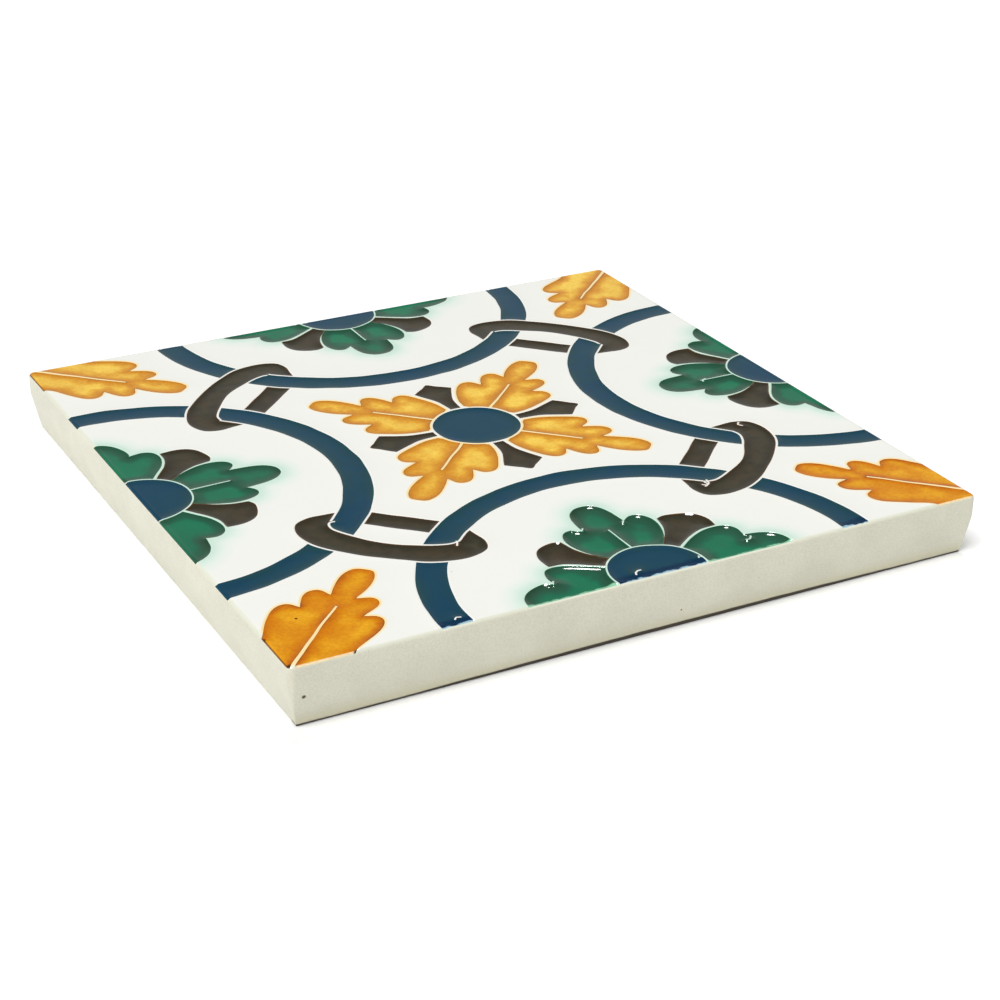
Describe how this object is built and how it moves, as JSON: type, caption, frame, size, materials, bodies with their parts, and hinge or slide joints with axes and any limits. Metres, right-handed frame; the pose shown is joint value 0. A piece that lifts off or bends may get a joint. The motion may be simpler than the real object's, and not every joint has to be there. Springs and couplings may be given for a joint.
{
  "type": "ceramic tile",
  "caption": "Square hand-made relief tile of glazed earthenware, with drawn-in sides, a flat back and a moulded pattern of interlaced arcs, links, leaves and flowers.",
  "frame": {"origin": "middle of the flat back, on the surface that the tile lies on", "axes": "+Z out of the glazed face; +X and +Y square to the edges"},
  "size_m": [0.14, 0.14, 0.0124],
  "materials": {
    "glaze": "gloss glaze over white slip, patterned in blue, green, amber and brown"
  },
  "bodies": {
    "root": {"tile": "glaze"}
  },
  "joints": []
}
